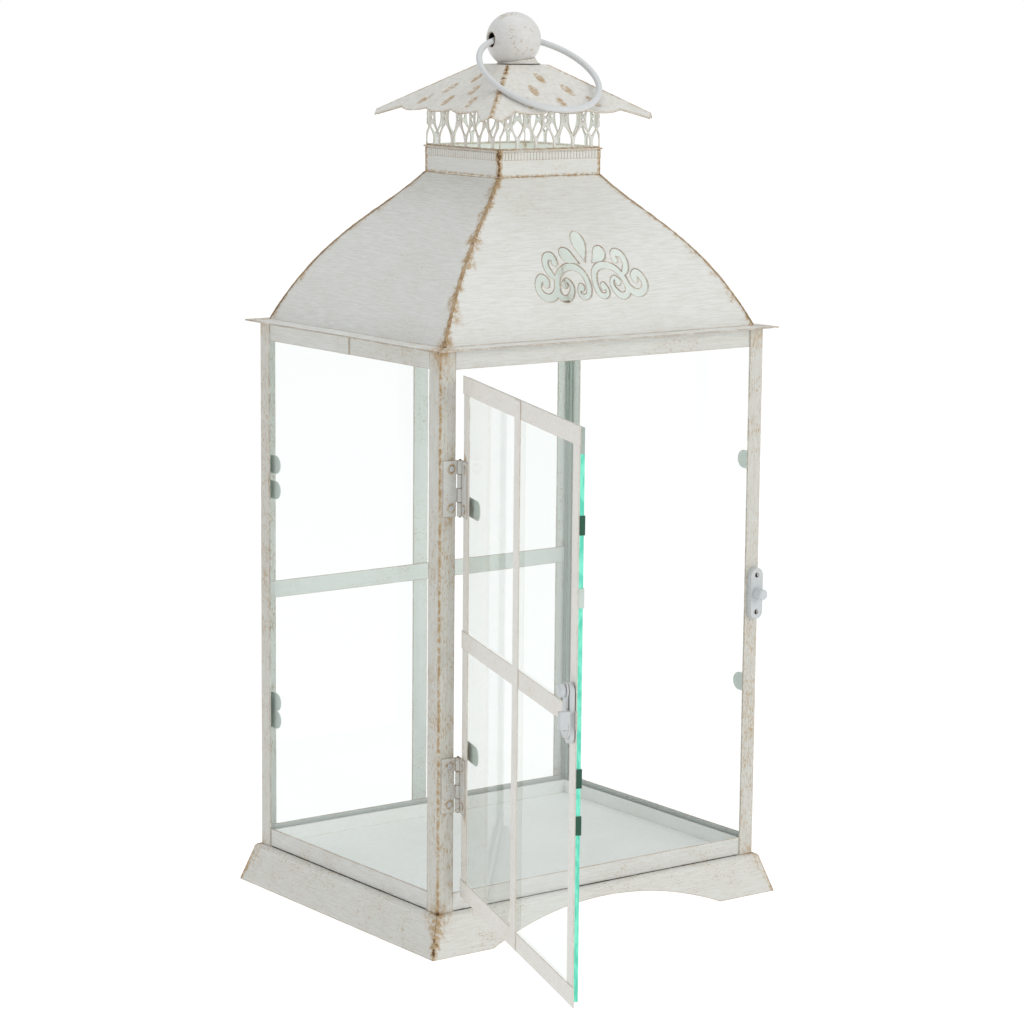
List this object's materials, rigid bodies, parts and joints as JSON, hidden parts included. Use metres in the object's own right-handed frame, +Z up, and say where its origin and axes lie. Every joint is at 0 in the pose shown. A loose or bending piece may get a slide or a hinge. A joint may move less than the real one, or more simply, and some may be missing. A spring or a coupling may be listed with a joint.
{
  "type": "candle lantern",
  "caption": "Square-shouldered candle lantern in white sheet metal with glass sides, a hinged glazed door with a hook latch, a pierced neck and a carrying ring.",
  "frame": {"origin": "centre of the base's footprint, on the surface the lantern stands on", "axes": "+Z up to the ball and ring, -Y out of the door side, +X towards the latch side"},
  "size_m": [0.2935, 0.3783, 0.5],
  "materials": {
    "base_paint": "antique white paint, brushed, worn brown along the edges",
    "clip_metal": "thin grey-white paint on tabs",
    "door_glass": "clear float glass with a green cut edge",
    "door_paint": "antique white paint, brushed, worn brown along the edges",
    "hardware_paint": "antique white paint, brushed, worn brown along the edges",
    "hat_paint": "antique white paint, brushed, worn brown along the edges",
    "neck_paint": "antique white paint, brushed, worn brown along the edges",
    "pane_glass": "clear float glass",
    "post_paint": "antique white paint, brushed, worn brown along the edges",
    "rail_paint": "antique white paint, brushed, worn brown along the edges",
    "ring_paint": "smooth satin white paint",
    "roof_paint": "antique white paint, brushed, worn brown along the edges",
    "tray_paint": "satin off-white paint"
  },
  "bodies": {
    "frame": {"base_skirt_front": "base_paint", "base_skirt_back": "base_paint", "base_skirt_left": "base_paint", "base_skirt_right": "base_paint", "floor_tray": "tray_paint", "post_front_left": "post_paint", "post_front_right": "post_paint", "post_back_left": "post_paint", "post_back_right": "post_paint", "bottom_rail_front": "rail_paint", "bottom_rail_back": "rail_paint", "bottom_rail_left": "rail_paint", "bottom_rail_right": "rail_paint", "top_rail_front": "rail_paint", "top_rail_back": "rail_paint", "top_rail_right": "rail_paint", "top_rail_left_front_half": "rail_paint", "top_rail_left_rear_half": "rail_paint", "glass_left": "pane_glass", "glass_right": "pane_glass", "glass_back": "pane_glass", "back_muntin_upright": "rail_paint", "back_muntin_crossbar": "rail_paint", "glass_clips": "clip_metal", "roof_panel_front": "roof_paint", "roof_panel_back": "roof_paint", "roof_panel_left": "roof_paint", "roof_panel_right": "roof_paint", "collar": "neck_paint", "collar_reeded_band": "neck_paint", "gallery_front": "neck_paint", "gallery_right": "neck_paint", "gallery_back": "neck_paint", "gallery_left": "neck_paint", "hat_roof": "hat_paint", "finial_cup": "hat_paint", "finial_ball": "hat_paint", "hinge_pins": "hardware_paint", "hinge_rivets_frame": "hardware_paint", "strike_plate": "hardware_paint", "strike_stud": "hardware_paint", "upper_hinge_frame_leaf": "hardware_paint", "lower_hinge_frame_leaf": "hardware_paint"},
    "door": {"door_glass": "door_glass", "door_hinge_stile": "door_paint", "door_latch_stile": "door_paint", "door_bottom_rail": "door_paint", "door_middle_rail": "door_paint", "door_top_rail": "door_paint", "door_muntin": "door_paint", "door_glass_clips": "clip_metal", "hinge_rivets_door": "hardware_paint", "latch_plate": "hardware_paint", "latch_pivot": "hardware_paint", "upper_hinge_door_leaf": "hardware_paint", "lower_hinge_door_leaf": "hardware_paint"},
    "latch": {"latch_lever": "hardware_paint"},
    "ring": {"carry_ring": "ring_paint"}
  },
  "joints": [
    {"name": "door_hinge", "type": "hinge", "parent": "frame", "child": "door", "pos_m": [-0.099, -0.0905, 0.1725], "axis": [0, 0, 1], "range_deg": [-60, 109.6]},
    {"name": "latch_pivot", "type": "hinge", "parent": "door", "child": "latch", "pos_m": [-0.16624, -0.27249, 0.186], "axis": [-0.9421, 0.3355, 0], "range_deg": [-30, 120]},
    {"name": "ring_swing", "type": "hinge", "parent": "frame", "child": "ring", "pos_m": [0, 0, 0.4847], "axis": [-0.9962, 0.0872, 0], "range_deg": [0, 245.4]}
  ]
}
